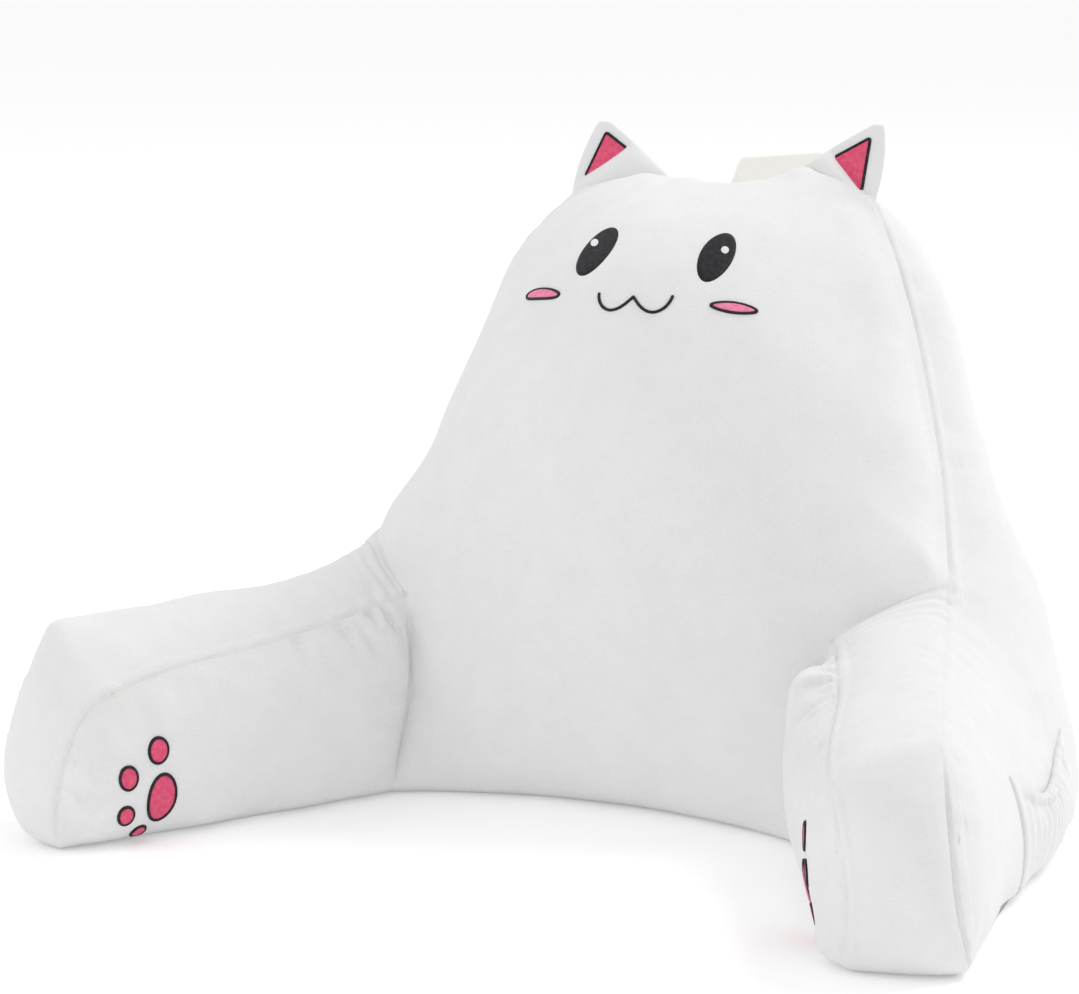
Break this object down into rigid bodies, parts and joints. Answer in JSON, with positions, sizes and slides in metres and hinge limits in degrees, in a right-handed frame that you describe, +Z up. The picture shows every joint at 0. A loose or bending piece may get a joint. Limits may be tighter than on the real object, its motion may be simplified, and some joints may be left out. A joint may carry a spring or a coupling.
{
  "type": "reading pillow",
  "caption": "Cat-shaped reading pillow in white plush: a stuffed back rest with stuffed arms and ears, a carry handle and a gathered side pocket.",
  "frame": {"origin": "on the flat base, on the middle plane of the pillow, under the back rest", "axes": "+X to the viewer's right along the pillow's width, +Y to the rear, +Z up; the arms point to -Y"},
  "size_m": [0.7004, 0.5309, 0.462],
  "materials": {
    "white_plush": "short soft pile, matte",
    "cream_strap": "woven tape, matte"
  },
  "bodies": {
    "root": {"pillow_body": "white_plush", "ear_left": "white_plush", "ear_right": "white_plush", "carry_handle": "cream_strap", "side_pocket": "white_plush"}
  },
  "joints": []
}
